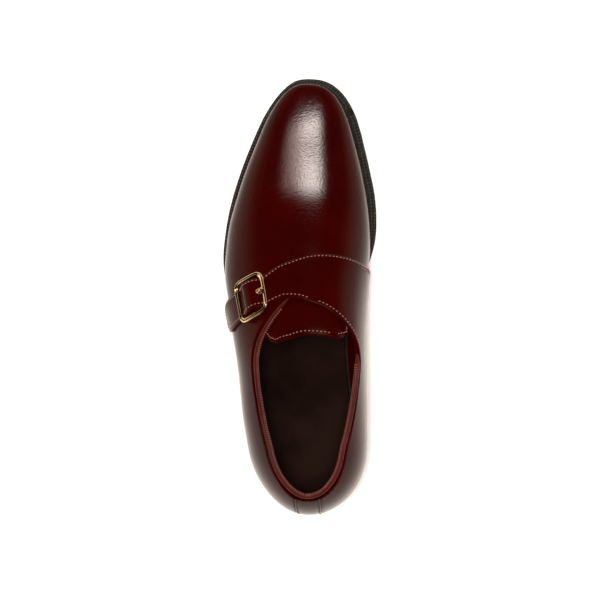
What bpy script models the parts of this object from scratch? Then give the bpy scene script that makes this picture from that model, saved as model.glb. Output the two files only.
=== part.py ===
"""A left monk strap shoe on a leather sole, size 42 to 43, as separate pieces.

Frame: metres, +Z up, +Y to the toe, +X to the inner (big toe) side. The origin is on
the floor, under the middle of the whole shoe.
"""
import bpy
import bmesh
from math import acos, copysign, cos, pi, sin, sqrt
from mathutils import Vector

# Driving dimensions of the last and the bottom
LENGTH = 0.300
BALL_WIDTH = 0.107
CROWN_HEIGHT = 0.078
WIDEST_RISE = 0.0155
HEEL_HEIGHT = 0.0215
TOE_SPRING = 0.0095
CLEARANCE = 0.0003
OVERLAY_GAP = 0.00045
BINDING_GAP = 0.0009

# Thicknesses
OUTSOLE_THICK = 0.005
WELT_THICK = 0.0028
INSOLE_THICK = 0.003
TOP_PIECE_THICK = 0.006
UPPER_WALL = 0.002
QUARTER_THICK = 0.0014
TONGUE_THICK = 0.0016
BACK_STRIP_THICK = 0.0012
QUARTER_TOP = OVERLAY_GAP + QUARTER_THICK

# Where the round ends of the last begin, and how far each outline reaches
HEEL_CENTRE = -0.350 * LENGTH
TOE_START = 0.3667 * LENGTH
HEEL_GIRTH = 0.200 * LENGTH
TOE_SQUARENESS = 2.7
UPPER_BACK = -0.4945 * LENGTH
UPPER_FRONT = 0.4862 * LENGTH
TUCK_AT_ENDS = 0.0035
SOLE_BACK_INSET = 0.0012
TOE_WELT = 0.0042

# Steps of the upper's grid: round the back, along the body, round the toe, and down
# the side to the widest line and under it
FAN_STEPS = 8
BODY_STEPS = 23
TOE_STEPS = 6
TOP_ROWS = 8
TUCK_ROWS = 3

# Bottom pieces
HEEL_BREAST = -0.268 * LENGTH
BREAST_BOW = 0.005
HEEL_INSET = 0.0006
HEEL_TAPER = 0.0015
STACK_TAPER = 0.7
WELT_SEAT = 0.009
INSOLE_GAP = 0.0005

# Opening, strap, buckle
NOTCH_TIP = 0.055 * LENGTH
BINDING_HEIGHT = 0.0026
BINDING_OUTER_END = -0.006 * LENGTH
BINDING_INNER_END = -0.132 * LENGTH
BINDING_TAPER = 0.0060
BINDING_TIP = 0.45
BACK_STRIP_HALF = 0.0088
BACK_STRIP_LOW = 1.95
REAR_FADE = 0.24
CLIMB_START = 0.16
CLIMB_RUN = 0.28
STRAP_WIDTH = 0.0212
STRAP_LIFT = 0.0049
STRAP_TAIL = 0.0412
STRAP_TIP_ROUND = 0.0110
STRAP_BAR_STEP = 0.98
WEAVE_END = 0.56
BUCKLE_ALONG = -0.0027
BUCKLE_GIRTH = -0.500
BUCKLE_TURN = 0.42
BUCKLE_SPAN = 0.0207
BUCKLE_SIDE_GAP = 0.0021
BUCKLE_WIRE = 0.0025
BUCKLE_CORNER = 0.0040
CENTRE_BAR = 0.0013
CENTRE_BAR_RISE = 0.0025
PRONG_WIRE = 0.0013
PRONG_LOOP = 0.0016
PRONG_SWELL = 0.30
TAB_THICK = 0.0008
TAB_LOOP = 0.00155
TAB_WIDTH = 0.0170
TAB_SLOT = 0.0028
TAB_LEG = 0.0064
TONGUE_SHIFT = -0.035
TONGUE_SPREAD = 1.25

# The last, from the back to the toe. Columns: place along (share of LENGTH from the
# middle), ridge from the middle line, outer and inner half widths (shares of
# BALL_WIDTH), height of the widest line and of the ridge over the feather line (shares
# of WIDEST_RISE and CROWN_HEIGHT), outer and inner fullness, outer and inner tuck
# under the widest line (shares of WIDEST_RISE).
LAST_COLUMNS = ("along", "ridge", "outer", "inner", "widest", "crown",
                "outer_full", "inner_full", "outer_tuck", "inner_tuck")
LAST = (
    (-0.500, 0.075, 0.307, 0.356, 0.94, 1.010, 2.20, 2.20, 0.28, 0.30),
    (-0.350, 0.078, 0.375, 0.353, 0.96, 1.000, 1.50, 1.80, 0.32, 0.33),
    (-0.267, 0.078, 0.413, 0.353, 1.00, 1.000, 1.25, 2.40, 0.42, 0.45),
    (-0.183, 0.079, 0.437, 0.349, 1.06, 1.006, 1.40, 3.50, 0.55, 0.62),
    (-0.100, 0.079, 0.474, 0.347, 1.26, 1.019, 1.42, 4.20, 0.58, 0.72),
    (0.000, 0.078, 0.536, 0.357, 1.19, 0.930, 1.50, 3.00, 0.45, 0.52),
    (0.050, 0.075, 0.556, 0.373, 1.05, 0.869, 1.60, 2.60, 0.33, 0.38),
    (0.100, 0.067, 0.539, 0.397, 0.95, 0.799, 1.70, 2.40, 0.25, 0.27),
    (0.153, 0.060, 0.516, 0.402, 0.84, 0.699, 1.80, 2.30, 0.22, 0.22),
    (0.217, 0.053, 0.462, 0.391, 0.78, 0.596, 1.95, 2.30, 0.20, 0.20),
    (0.287, 0.048, 0.394, 0.359, 0.75, 0.513, 2.10, 2.30, 0.20, 0.20),
    (0.367, 0.048, 0.302, 0.302, 0.73, 0.416, 2.30, 2.30, 0.20, 0.20),
    (0.500, 0.056, 0.157, 0.201, 0.70, 0.220, 2.50, 2.50, 0.20, 0.20),
)

# The sole's edge. Columns: place along, outer and inner edge from the middle line
# (shares of BALL_WIDTH), share of HEEL_HEIGHT and of TOE_SPRING under the sole.
SOLE_COLUMNS = ("along", "outer", "inner", "heel", "spring")
SOLE = (
    (-0.500, -0.262, 0.436, 1.00, 0.00),
    (-0.350, -0.297, 0.434, 0.98, 0.00),
    (-0.267, -0.322, 0.425, 0.93, 0.00),
    (-0.183, -0.338, 0.397, 0.81, 0.00),
    (-0.100, -0.362, 0.376, 0.53, 0.00),
    (0.000, -0.447, 0.391, 0.20, 0.00),
    (0.050, -0.491, 0.428, 0.06, 0.00),
    (0.090, -0.500, 0.467, 0.00, 0.00),
    (0.120, -0.492, 0.491, 0.00, 0.00),
    (0.165, -0.476, 0.501, 0.00, 0.00),
    (0.217, -0.444, 0.495, 0.00, 0.00),
    (0.290, -0.380, 0.457, 0.00, 0.06),
    (0.367, -0.293, 0.407, 0.00, 0.27),
    (0.500, -0.131, 0.318, 0.00, 1.00),
)

# The opening's edge. Columns: place along, outer and inner edge as shares of the half
# widths. Behind HEEL_CENTRE the place runs round the back, by HEEL_GIRTH.
OPENING_COLUMNS = ("along", "outer", "inner")
OPENING = (
    (-0.550, 0.705, 0.705),
    (-0.500, 0.668, 0.688),
    (-0.450, 0.632, 0.652),
    (-0.400, 0.618, 0.636),
    (-0.350, 0.632, 0.652),
    (-0.305, 0.687, 0.733),
    (-0.249, 0.728, 0.814),
    (-0.192, 0.762, 0.877),
    (-0.149, 0.754, 0.905),
    (-0.120, 0.712, 0.885),
    (-0.090, 0.635, 0.830),
    (-0.062, 0.524, 0.740),
    (-0.036, 0.410, 0.610),
    (-0.012, 0.275, 0.420),
    (0.020, 0.120, 0.190),
    (0.055, 0.000, 0.000),
)

# The medial quarter and its strap, from the back strip round to the buckle. Columns:
# step, place along and girth of the top (rear) edge, place along and girth of the
# lower (front) edge. Girth is 0 on the ridge, 1 on the inner widest line, 2 on the
# feather line, and negative on the outer side. Up to THROAT_STEP the top edge keeps to
# the opening.
BAND_COLUMNS = ("step", "top_along", "top_girth", "low_along", "low_girth")
THROAT_STEP = 0.46
STRAP = (
    (0.00, -0.550, 0.477, -0.550, 1.42),
    (0.13, -0.400, 0.452, -0.400, 1.42),
    (0.24, -0.300, 0.523, -0.250, 1.34),
    (0.33, -0.225, 0.570, -0.120, 1.18),
    (0.41, -0.175, 0.600, -0.010, 1.03),
    (0.46, -0.140, 0.600, 0.053, 0.97),
    (0.51, -0.105, 0.495, 0.069, 0.65),
    (0.57, -0.082, 0.381, 0.081, 0.435),
    (0.63, -0.059, 0.254, 0.087, 0.284),
    (0.69, -0.041, 0.152, 0.090, 0.162),
    (0.75, -0.026, 0.056, 0.089, 0.058),
    (0.80, -0.016, -0.030, 0.083, -0.038),
    (0.86, -0.011, -0.130, 0.073, -0.147),
    (0.92, -0.010, -0.229, 0.063, -0.247),
)

# The outer quarter, from the back strip to its front edge under the buckle.
OUTER_QUARTER = (
    (0.00, -0.550, 0.477, -0.550, 1.42),
    (0.25, -0.380, 0.470, -0.370, 1.41),
    (0.48, -0.240, 0.600, -0.240, 1.33),
    (0.64, -0.150, 0.610, -0.150, 1.20),
    (0.76, -0.090, 0.500, -0.090, 1.08),
    (0.86, -0.045, 0.370, -0.048, 0.94),
    (0.93, -0.010, 0.230, -0.010, 0.72),
    (1.00, 0.018, 0.130, 0.045, 0.32),
)

# How high the strap's underside stands over the outer quarter, through the buckle.
# Columns: distance from the centre bar (shares of BUCKLE_SPAN), lift (shares of
# STRAP_LIFT).
WEAVE_COLUMNS = ("across", "lift")
WEAVE = (
    (-0.52, 0.00),
    (-0.45, 0.03),
    (-0.39, 0.22),
    (-0.32, 0.56),
    (-0.23, 0.87),
    (-0.12, 1.00),
    (0.05, 1.00),
    (0.15, 0.86),
    (0.26, 0.52),
    (0.37, 0.20),
    (0.45, 0.04),
    (0.52, 0.00),
)

# The prong's line. Columns: distance from the centre bar and height over the outer
# quarter, shares of BUCKLE_SPAN.
PRONG = (
    (-0.06, 0.187),
    (-0.14, 0.194),
    (-0.24, 0.214),
    (-0.34, 0.241),
    (-0.42, 0.263),
    (-0.49, 0.271),
    (-0.53, 0.271),
)

# The tongue. Columns: place along, half girth there.
TONGUE_COLUMNS = ("along", "half")
TONGUE = (
    (-0.095, 0.440),
    (-0.080, 0.480),
    (-0.040, 0.430),
    (0.020, 0.330),
    (0.090, 0.250),
    (0.150, 0.200),
)

# The tongue's top edge. Columns: place across (-1 outer to 1 inner), place along.
TONGUE_TOP_COLUMNS = ("across", "along")
TONGUE_TOP = (
    (-1.00, -0.1022),
    (-0.93, -0.1098),
    (-0.86, -0.1075),
    (-0.71, -0.1015),
    (-0.57, -0.0976),
    (-0.43, -0.0938),
    (-0.29, -0.0892),
    (-0.14, -0.0859),
    (0.00, -0.0847),
    (0.14, -0.0862),
    (0.29, -0.0891),
    (0.43, -0.0922),
    (0.57, -0.0933),
    (0.71, -0.0919),
    (0.86, -0.0905),
    (1.00, -0.0884),
)


def column(rows, names, name):
    """A smooth curve through one column of a table, against its first column."""
    at = names.index(name)
    xs = [row[0] for row in rows]
    ys = [row[at] for row in rows]
    rises = [(ys[i + 1] - ys[i]) / (xs[i + 1] - xs[i]) for i in range(len(xs) - 1)]
    slopes = [rises[0]]
    for before, after in zip(rises, rises[1:]):
        level = before * after <= 0.0
        slopes.append(0.0 if level else 2.0 * before * after / (before + after))
    slopes.append(rises[-1])

    def read(x):
        i = 0
        while i < len(xs) - 2 and x > xs[i + 1]:
            i += 1
        span = xs[i + 1] - xs[i]
        t = (x - xs[i]) / span
        if t < 0.0 or t > 1.0:
            end = 0 if t < 0.0 else -1
            return ys[end] + slopes[end] * (x - xs[end])
        rest = 1.0 - t
        return (ys[i] * rest * rest * (1.0 + 2.0 * t) + ys[i + 1] * t * t * (3.0 - 2.0 * t)
                + span * t * rest * (slopes[i] * rest - slopes[i + 1] * t))

    return read


last = {name: column(LAST, LAST_COLUMNS, name) for name in LAST_COLUMNS[1:]}
sole = {name: column(SOLE, SOLE_COLUMNS, name) for name in SOLE_COLUMNS[1:]}
opening = {name: column(OPENING, OPENING_COLUMNS, name) for name in OPENING_COLUMNS[1:]}


def ridge(y):
    return last["ridge"](y / LENGTH) * BALL_WIDTH


def sole_bottom(y):
    share = y / LENGTH
    return HEEL_HEIGHT * sole["heel"](share) + TOE_SPRING * sole["spring"](share)


def feather(y):
    """Height of the line where the upper meets the welt."""
    return sole_bottom(y) + OUTSOLE_THICK + WELT_THICK + 2.0 * CLEARANCE


def widest(y):
    return feather(y) + WIDEST_RISE * last["widest"](y / LENGTH)


def crown(y):
    return feather(y) + CROWN_HEIGHT * last["crown"](y / LENGTH)


def hand(side, kind=""):
    return ("inner" if side > 0 else "outer") + kind


def upper_half(side, y):
    return last[hand(side)](y / LENGTH) * BALL_WIDTH


def feather_half(side, y):
    return upper_half(side, y) - last[hand(side, "_tuck")](y / LENGTH) * WIDEST_RISE


def sole_half(side, y):
    return side * (sole[hand(side)](y / LENGTH) * BALL_WIDTH - ridge(y))


def outline(half, back, front):
    """A closed outline: its half widths, and how far it reaches at each end."""
    return {"half": half, "back": back, "front": front}


def inset(edge, gap):
    return outline(lambda side, y: edge["half"](side, y) - gap,
                   edge["back"] + gap, edge["front"] - gap)


WIDEST_LINE = outline(upper_half, UPPER_BACK, UPPER_FRONT)
FEATHER_LINE = outline(feather_half, UPPER_BACK + TUCK_AT_ENDS, UPPER_FRONT - TUCK_AT_ENDS)
SOLE_EDGE = outline(sole_half, UPPER_BACK + SOLE_BACK_INSET, UPPER_FRONT + TOE_WELT)


def spot(edge, side, place):
    """Plan position of a place (y, round, out) on an outline.

    round goes from 0 to 1 over the toe and from 0 to -1 over the heel; out is the
    share of the half width.
    """
    y, turn, out = place
    reach = edge["front"] - TOE_START if turn > 0 else HEEL_CENTRE - edge["back"]
    y = y + reach * turn
    return ridge(y) + side * edge["half"](side, y) * out, y


def toe_place(turn, out):
    """A place in the toe from a square of turn and out, squared off like the toe."""
    forward = turn * sqrt(1.0 - out * out / 2.0)
    across = out * sqrt(1.0 - turn * turn / 2.0)
    radius = sqrt(forward * forward + across * across)
    if radius < 1e-9:
        return (TOE_START, 0.0, 0.0), 0.0
    stretch = ((forward / radius) ** TOE_SQUARENESS
               + (across / radius) ** TOE_SQUARENESS) ** (-1.0 / TOE_SQUARENESS)
    return (TOE_START, forward * stretch, across * stretch), radius


def fullness(side, y, own):
    """The last's fullness; own is 1 beside the body and 0 where both sides meet."""
    mine = last[hand(side, "_full")](y / LENGTH)
    other = last[hand(-side, "_full")](y / LENGTH)
    return 0.5 * (mine + other) + 0.5 * (mine - other) * own


def over(side, place, radius, full):
    """Point of the last above its widest line."""
    x, y = spot(WIDEST_LINE, side, place)
    low = widest(y)
    lift = sqrt(max(0.0, 1.0 - radius ** full))
    return Vector((x, y, low + (crown(y) - low) * lift))


def under(side, place, climb):
    """Point of the last between its feather line (climb 0) and widest line (1)."""
    x, y = spot(WIDEST_LINE, side, place)
    foot_x, foot_y = spot(FEATHER_LINE, side, place)
    swell = 1.0 - (1.0 - climb) ** 2
    foot = feather(foot_y)
    return Vector((foot_x + (x - foot_x) * swell, foot_y + (y - foot_y) * swell,
                   foot + (widest(y) - foot) * climb))


def fan(side, along):
    """Body or heel place at a distance along, with the fullness there."""
    if along >= HEEL_CENTRE:
        return (along, 0.0, 1.0), last[hand(side, "_full")](along / LENGTH)
    angle = (HEEL_CENTRE - along) / HEEL_GIRTH * pi / 2.0
    place = (HEEL_CENTRE, -sin(angle), cos(angle))
    y = spot(WIDEST_LINE, side, place)[1]
    return place, fullness(side, y, cos(angle))


def surface(along, girth):
    """Point of the last at a distance along and a signed girth."""
    side = -1.0 if girth < 0 else 1.0
    (y, turn, out), full = fan(side, along)
    reach = abs(girth)
    if reach > 1.0:
        return under(side, (y, turn, out), 2.0 - reach)
    radius = max(0.0, cos((1.0 - reach) * pi / 2.0)) ** (2.0 / full)
    return over(side, (y, turn * radius, out * radius), radius, full)


def opening_girth(side, along):
    """Girth of the opening's edge at a distance along."""
    full = fan(side, along)[1]
    share = max(0.0, opening[hand(side)](along / LENGTH))
    return 1.0 - acos(min(1.0, share ** (full / 2.0))) / (pi / 2.0)


def directions(along, girth):
    """Unit vectors at a point of the last: forward, down the girth, and out."""
    d_along = 0.0004
    d_girth = 0.01
    forward = surface(along + d_along, girth) - surface(along - d_along, girth)
    down = surface(along, girth + d_girth) - surface(along, girth - d_girth)
    normal = down.cross(forward).normalized()
    return forward.normalized(), down.normalized(), normal


def raised(along, girth, height):
    """Point at a height over the last, negative inside it."""
    return surface(along, girth) + directions(along, girth)[2] * height


def finish(name, colour, roughness, metallic=0.0):
    material = bpy.data.materials.new(name)
    material.use_nodes = True
    shader = material.node_tree.nodes["Principled BSDF"]
    shader.inputs["Base Color"].default_value = (*colour, 1.0)
    shader.inputs["Roughness"].default_value = roughness
    shader.inputs["Metallic"].default_value = metallic
    material.diffuse_color = (*colour, 1.0)
    return material


def piece(name, bm, material, smooth=50.0):
    """Put a finished bmesh into the scene as one named object."""
    bmesh.ops.remove_doubles(bm, verts=bm.verts, dist=1e-6)
    bmesh.ops.recalc_face_normals(bm, faces=bm.faces)
    mesh = bpy.data.meshes.new(name)
    bm.to_mesh(mesh)
    bm.free()
    mesh.shade_smooth()
    mesh.set_sharp_from_angle(angle=smooth * pi / 180.0)
    mesh.materials.append(material)
    thing = bpy.data.objects.new(name, mesh)
    bpy.context.scene.collection.objects.link(thing)
    return thing


def sheet(bm, columns, rows, position):
    """Add a grid of columns and rows, each vertex placed by position(i, j) in 0..1."""
    made = bmesh.ops.create_grid(bm, x_segments=columns, y_segments=rows, size=0.5)
    for vertex in made["verts"]:
        vertex.co = position(min(1.0, max(0.0, vertex.co.x + 0.5)),
                             min(1.0, max(0.0, vertex.co.y + 0.5)))
    return made["verts"]


def slab(columns, rows, below, above, ring=False, keep=None):
    """A closed sheet between two surfaces, both given as position(i, j)."""
    bm = bmesh.new()
    along = bm.verts.layers.float.new("along")
    across = bm.verts.layers.float.new("across")
    bmesh.ops.create_grid(bm, x_segments=columns, y_segments=rows, size=0.5)
    for vertex in bm.verts:
        i = min(1.0, max(0.0, vertex.co.x + 0.5))
        j = min(1.0, max(0.0, vertex.co.y + 0.5))
        vertex[along] = i
        vertex[across] = j
        if ring:
            turn = 2.0 * pi * i
            vertex.co = Vector((cos(turn), sin(turn), 0.0)) * (1.0 + j)
    if ring:
        bmesh.ops.remove_doubles(bm, verts=bm.verts, dist=1e-5)
    if keep:
        centres = [(f, sum(v[along] for v in f.verts) / 4.0, sum(v[across] for v in f.verts) / 4.0)
                   for f in bm.faces]
        gone = [f for f, i, j in centres if not keep(i, j)]
        bmesh.ops.delete(bm, geom=gone, context="FACES")
    made = bmesh.ops.extrude_face_region(bm, geom=bm.faces[:], use_keep_orig=True)
    lifted = {item for item in made["geom"] if isinstance(item, bmesh.types.BMVert)}
    for vertex in bm.verts:
        position = above if vertex in lifted else below
        vertex.co = position(vertex[along], vertex[across])
    return bm


def rod(steps, sides, centre, closed=False):
    """A round bar; centre(i) gives its middle and the two half-axes of its section."""
    bm = bmesh.new()

    def skin(i, j):
        middle, first, second = centre(i)
        return middle + first * cos(2.0 * pi * j) + second * sin(2.0 * pi * j)

    sheet(bm, steps, sides, skin)
    bmesh.ops.remove_doubles(bm, verts=bm.verts, dist=1e-6)
    if not closed:
        bmesh.ops.holes_fill(bm, edges=bm.edges, sides=sides + 1)
    return bm


def between(values, i):
    """The value at share i of a list, straight between its items."""
    at = i * (len(values) - 1)
    first = min(int(at), len(values) - 2)
    rest = at - first
    low, high = values[first], values[first + 1]
    return tuple(a + (b - a) * rest for a, b in zip(low, high))


def sole_places(heel_steps, body_steps, toe_steps):
    """Places for a plate's cross lines, from the back to the toe tip."""
    places = []
    for step in range(heel_steps):
        angle = (1.0 - step / heel_steps) * pi / 2.0
        places.append((HEEL_CENTRE, -sin(angle), cos(angle)))
    for step in range(body_steps):
        places.append((HEEL_CENTRE + (TOE_START - HEEL_CENTRE) * step / body_steps, 0.0, 1.0))
    for step in range(toe_steps + 1):
        angle = step / toe_steps * pi / 2.0
        places.append((TOE_START, sin(angle) ** (2.0 / TOE_SQUARENESS),
                       abs(cos(angle)) ** (2.0 / TOE_SQUARENESS)))
    return places


def heel_places(heel_steps, body_steps):
    places = sole_places(heel_steps, 1, 1)[:heel_steps]
    for step in range(body_steps + 1):
        places.append((HEEL_CENTRE + (HEEL_BREAST - HEEL_CENTRE) * step / body_steps, 0.0, 1.0))
    return places


def plate(places, rows, low_edge, high_edge, bottom, top, bow=0.0):
    """A plate between two heights, with cross lines at the places."""

    def face(edge, height):
        def position(i, j):
            across = 2.0 * j - 1.0
            side = copysign(1.0, across)
            y, turn, out = between(places, i)
            x, y = spot(edge, side, (y, turn, out * abs(across)))
            y -= bow * (1.0 - across * across) * i ** 3
            return Vector((x, y, height(y)))
        return position

    return slab(len(places) - 1, rows, face(low_edge, bottom), face(high_edge, top))


def outsole_top(y):
    return sole_bottom(y) + OUTSOLE_THICK


def build_outsole(material):
    bm = plate(sole_places(7, 24, 9), 2, SOLE_EDGE, SOLE_EDGE, sole_bottom, outsole_top)
    return piece("outsole", bm, material, 40.0)


def build_welt(material):
    """The welt, a strip all the way round on the outsole's edge."""
    seat = inset(FEATHER_LINE, WELT_SEAT)
    half = sole_places(7, 24, 9)
    loop = [(-1.0, place) for place in half] + [(1.0, place) for place in half[-2::-1]]

    def face(rise):
        def position(i, j):
            side, place = loop[round(i * (len(loop) - 1))]
            ends = [Vector((*spot(edge, side, place), 0.0)) for edge in (seat, SOLE_EDGE)]
            point = ends[0].lerp(ends[1], j)
            point.z = outsole_top(point.y) + rise
            return point
        return position

    bm = slab(len(loop) - 1, 1, face(CLEARANCE), face(CLEARANCE + WELT_THICK), ring=True)
    return piece("welt", bm, material, 40.0)


def build_insole(material):
    edge = inset(FEATHER_LINE, UPPER_WALL + INSOLE_GAP)

    def top(y):
        return feather(y) + INSOLE_THICK

    bm = plate(sole_places(6, 18, 7), 2, edge, edge, feather, top)
    return piece("insole", bm, material, 40.0)


def build_heel(stack_material, rubber_material):
    wide = inset(SOLE_EDGE, HEEL_INSET)
    waist = inset(SOLE_EDGE, HEEL_INSET + HEEL_TAPER * STACK_TAPER)
    narrow = inset(SOLE_EDGE, HEEL_INSET + HEEL_TAPER)
    places = heel_places(8, 4)

    def stack_top(y):
        return sole_bottom(y) - CLEARANCE

    bm = plate(places, 4, waist, wide, lambda y: TOP_PIECE_THICK + CLEARANCE, stack_top,
               BREAST_BOW)
    stack = piece("heel_stack", bm, stack_material, 40.0)
    bm = plate(places, 4, narrow, waist, lambda y: 0.0, lambda y: TOP_PIECE_THICK,
               BREAST_BOW)
    return stack, piece("heel_top_piece", bm, rubber_material, 40.0)


def upper_columns():
    back = HEEL_CENTRE - HEEL_GIRTH
    rear = [back + HEEL_GIRTH * step / FAN_STEPS for step in range(FAN_STEPS)]
    body = [HEEL_CENTRE + (TOE_START - HEEL_CENTRE) * step / BODY_STEPS
            for step in range(BODY_STEPS + 1)]
    return rear + body


def build_upper(material):
    """The upper as one wall: its outer skin, with the wall grown inwards."""
    columns = upper_columns()
    last_column = len(columns) - 1
    rows = TOP_ROWS + TUCK_ROWS
    bm = bmesh.new()

    def toe_point(side, turn, row):
        """Point in the toe, for a share of the turn and a row down from the ridge."""
        full = last[hand(side, "_full")](TOE_START / LENGTH)
        out = cos((1.0 - min(row, TOP_ROWS) / TOP_ROWS) * pi / 2.0) ** (2.0 / full)
        place, radius = toe_place(turn, out)
        if row > TOP_ROWS:
            return under(side, place, 1.0 - (row - TOP_ROWS) / TUCK_ROWS)
        y = spot(WIDEST_LINE, side, place)[1]
        return over(side, place, radius, fullness(side, y, abs(place[2])))

    for side in (-1.0, 1.0):
        def skin(i, j):
            step = round(i * (last_column + TOE_STEPS))
            row = round(j * rows)
            if step > last_column:
                turn = sin((step - last_column) / TOE_STEPS * pi / 2.0)
                return toe_point(side, turn, row)
            along = columns[step]
            top = opening_girth(side, along) if along < NOTCH_TIP else 0.0
            girth = top + (1.0 - top) * row / TOP_ROWS
            if row > TOP_ROWS:
                girth = 1.0 + (row - TOP_ROWS) / TUCK_ROWS
            return surface(along, side * girth)

        def toe_cap(i, j):
            row = round((1.0 - i) * TOP_ROWS)
            full = last[hand(side, "_full")](TOE_START / LENGTH)
            out = cos((1.0 - row / TOP_ROWS) * pi / 2.0) ** (2.0 / full)
            return under(side, toe_place(1.0, out)[0], 1.0 - round(j * TUCK_ROWS) / TUCK_ROWS)

        sheet(bm, last_column + TOE_STEPS, rows, skin)
        sheet(bm, TOP_ROWS, TUCK_ROWS, toe_cap)
    bmesh.ops.remove_doubles(bm, verts=bm.verts, dist=1e-5)
    upper = piece("upper", bm, material)
    wall = upper.modifiers.new("wall", "SOLIDIFY")
    wall.thickness = UPPER_WALL
    wall.offset = -1.0
    wall.use_even_offset = True
    return upper


def back_along(girth, half):
    """Place round the back where the last is a half width from its middle line."""
    side = 1.0
    along = HEEL_CENTRE - HEEL_GIRTH
    full = fan(side, along)[1]
    radius = 1.0 if girth > 1.0 else cos((1.0 - girth) * pi / 2.0) ** (2.0 / full)
    reach = WIDEST_LINE["half"](side, UPPER_BACK) * radius
    angle = (half / reach) / (pi / 2.0)
    return along + HEEL_GIRTH * angle


def quarter_place(curves, side, i, j, throat):
    """Place and girth on a quarter, i from the back strip forward, j down."""
    low_along = curves["low_along"](i) * LENGTH
    low_girth = curves["low_girth"](i)
    top_along = curves["top_along"](i) * LENGTH
    top_girth = opening_girth(side, top_along) if i <= throat else curves["top_girth"](i)
    along = top_along + (low_along - top_along) * j
    girth = top_girth + (low_girth - top_girth) * j
    if i >= REAR_FADE:
        return along, girth
    back_edge = back_along(girth, BACK_STRIP_HALF + CLEARANCE)
    start = curves["top_along"](0.0) * LENGTH
    return along + (back_edge - start) * (1.0 - i / REAR_FADE), girth


def build_outer_quarter(material):
    curves = {name: column(OUTER_QUARTER, BAND_COLUMNS, name) for name in BAND_COLUMNS[1:]}

    def face(height):
        def position(i, j):
            along, girth = quarter_place(curves, -1.0, i, j, 1.0)
            return raised(along, -girth, height)
        return position

    bm = slab(36, 9, face(OVERLAY_GAP), face(QUARTER_TOP))
    return piece("outer_quarter", bm, material)


def buckle_axes():
    """Steps of place and girth for a metre across the buckle and a metre back."""
    step = 0.001
    forward = (surface(BUCKLE_ALONG + step, BUCKLE_GIRTH)
               - surface(BUCKLE_ALONG - step, BUCKLE_GIRTH)) / (2.0 * step)
    outward = (surface(BUCKLE_ALONG, BUCKLE_GIRTH + step)
               - surface(BUCKLE_ALONG, BUCKLE_GIRTH - step)) / (2.0 * step)
    normal = directions(BUCKLE_ALONG, BUCKLE_GIRTH)[2]
    level = -outward.normalized()
    across = level * cos(BUCKLE_TURN) + normal.cross(level) * sin(BUCKLE_TURN)
    if across.y > level.y:
        across = level * cos(BUCKLE_TURN) - normal.cross(level) * sin(BUCKLE_TURN)
    back = normal.cross(across)
    if back.y > 0.0:
        back = -back
    a, b, c = forward.dot(forward), forward.dot(outward), outward.dot(outward)
    scale = a * c - b * b
    steps = []
    for way in (across, back):
        p, q = way.dot(forward), way.dot(outward)
        steps.append(((p * c - q * b) / scale, (q * a - p * b) / scale))
    return steps


ACROSS_STEP, BACK_STEP = buckle_axes()


def buckle_place(across, back):
    """Place and girth at a distance across and behind the buckle's middle."""
    return (BUCKLE_ALONG + across * ACROSS_STEP[0] + back * BACK_STEP[0],
            BUCKLE_GIRTH + across * ACROSS_STEP[1] + back * BACK_STEP[1])


def on_quarter(across, back, height):
    """Point by the buckle at a height over the outer quarter."""
    along, girth = buckle_place(across, back)
    return raised(along, girth, QUARTER_TOP + height)


def strap_rows():
    """The strap's rows, with a last one at the buckle's inner bar."""
    inner = buckle_place(-0.5 * BUCKLE_SPAN, 0.5 * STRAP_WIDTH)
    outer = buckle_place(-0.5 * BUCKLE_SPAN, -0.5 * STRAP_WIDTH)
    return STRAP + ((STRAP_BAR_STEP, inner[0] / LENGTH, inner[1],
                     outer[0] / LENGTH, outer[1]),)


def tail_half(across):
    """Half width of the strap at a distance across the buckle, round at its tip."""
    left = (STRAP_TAIL - across) / STRAP_TIP_ROUND
    if left >= 1.0:
        return 0.5 * STRAP_WIDTH
    return 0.5 * STRAP_WIDTH * sqrt(max(0.0, 1.0 - (1.0 - left) ** 2))


def build_strap(material):
    """Inner quarter and strap in one, from the back strip through the buckle."""
    curves = {name: column(strap_rows(), BAND_COLUMNS, name) for name in BAND_COLUMNS[1:]}
    lift = column(WEAVE, WEAVE_COLUMNS, "lift")
    band_steps = 34
    weave_steps = 14
    tail_steps = 11
    start = -0.5 * BUCKLE_SPAN
    weave_end = WEAVE_END * BUCKLE_SPAN
    stations = [("band", STRAP_BAR_STEP * step / band_steps) for step in range(band_steps)]
    stations += [("weave", start + (weave_end - start) * step / weave_steps)
                 for step in range(weave_steps)]
    stations += [("weave", weave_end + (STRAP_TAIL - weave_end) * sin(step / tail_steps * pi / 2.0))
                 for step in range(tail_steps + 1)]

    def climb(girth):
        """Share of the outer quarter's thickness that the strap has to clear."""
        share = min(1.0, max(0.0, (CLIMB_START - girth) / CLIMB_RUN))
        return share * share * (3.0 - 2.0 * share)

    def face(thickness):
        def position(i, j):
            kind, value = stations[round(i * (len(stations) - 1))]
            if kind == "band":
                along, girth = quarter_place(curves, 1.0, value, j, THROAT_STEP)
                base = OVERLAY_GAP + (QUARTER_TOP + CLEARANCE - OVERLAY_GAP) * climb(girth)
                return raised(along, girth, base + thickness)
            half = tail_half(value)
            rise = STRAP_LIFT * max(0.0, lift(value / BUCKLE_SPAN)) if value < weave_end else 0.0
            return on_quarter(value, half * (1.0 - 2.0 * j), CLEARANCE + rise + thickness)
        return position

    bm = slab(len(stations) - 1, 8, face(0.0), face(QUARTER_THICK))
    strap = piece("monk_strap", bm, material)
    hole = rod(len(PRONG) * 2, 10, prong_line(0.5 * PRONG_WIRE + CLEARANCE))
    cutter = piece("prong_hole_cutter", hole, material)
    cutter.hide_render = True
    cutter.display_type = "WIRE"
    cut = strap.modifiers.new("prong hole", "BOOLEAN")
    cut.operation = "DIFFERENCE"
    cut.solver = "EXACT"
    cut.object = cutter
    return strap


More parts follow.
